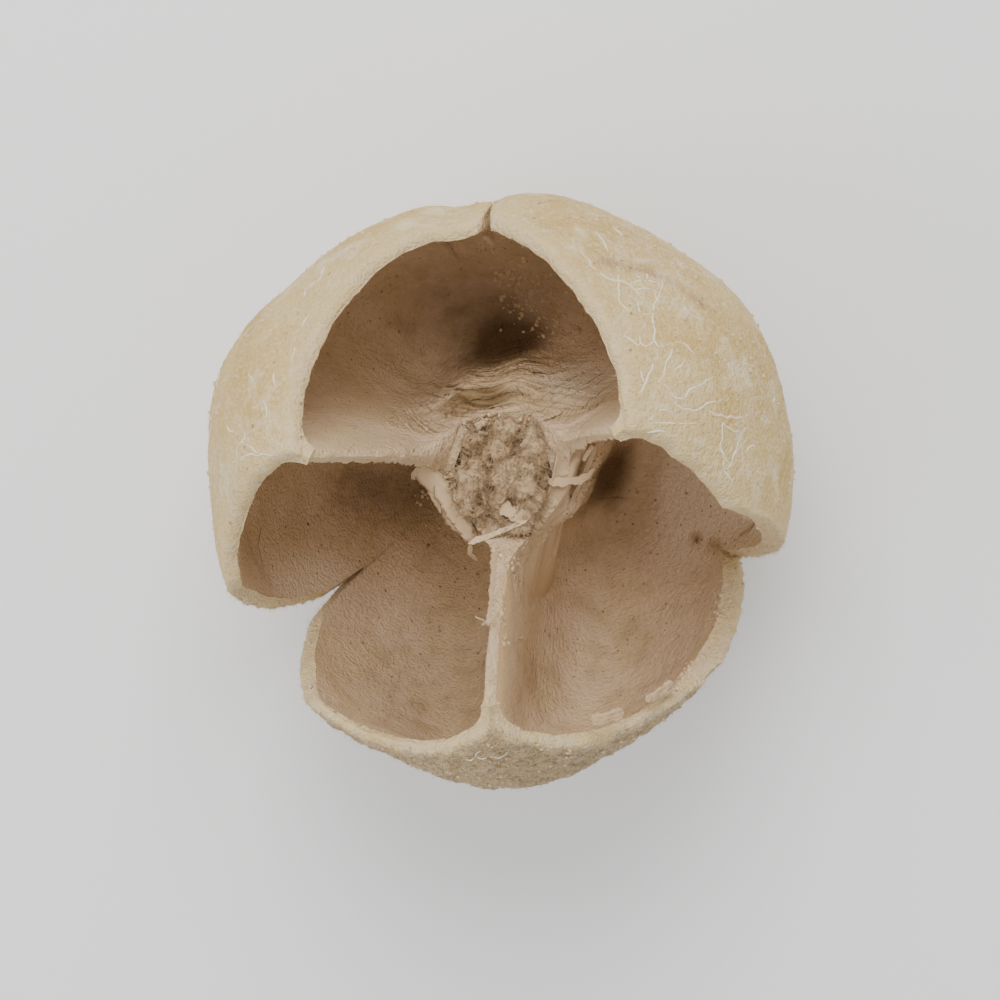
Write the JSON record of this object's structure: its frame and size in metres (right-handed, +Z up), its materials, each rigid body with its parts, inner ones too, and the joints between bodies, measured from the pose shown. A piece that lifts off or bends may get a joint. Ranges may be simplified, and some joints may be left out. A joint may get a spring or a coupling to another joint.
{
  "type": "dried bakuli pod",
  "caption": "Bleached woody seed pod of three valves, open at the top, with three chambers round a spongy column; it stands on its base like a bowl.",
  "frame": {"origin": "middle of the small flat spot under the pod, on its axis", "axes": "+Z up the pod's axis, out of its mouth; the three valves' tips point to 30, 150 and 270 degrees round Z from +X"},
  "size_m": [0.0596, 0.0605, 0.052],
  "materials": {
    "bleached_wood": "dry, bleached, fibrous wood, cream outside and pinkish tan in the chambers",
    "dry_pith": "pale, spongy, crumbly pith with small brown pits"
  },
  "bodies": {
    "root": {"pod_shell": "bleached_wood", "pith_column": "dry_pith"}
  },
  "joints": []
}
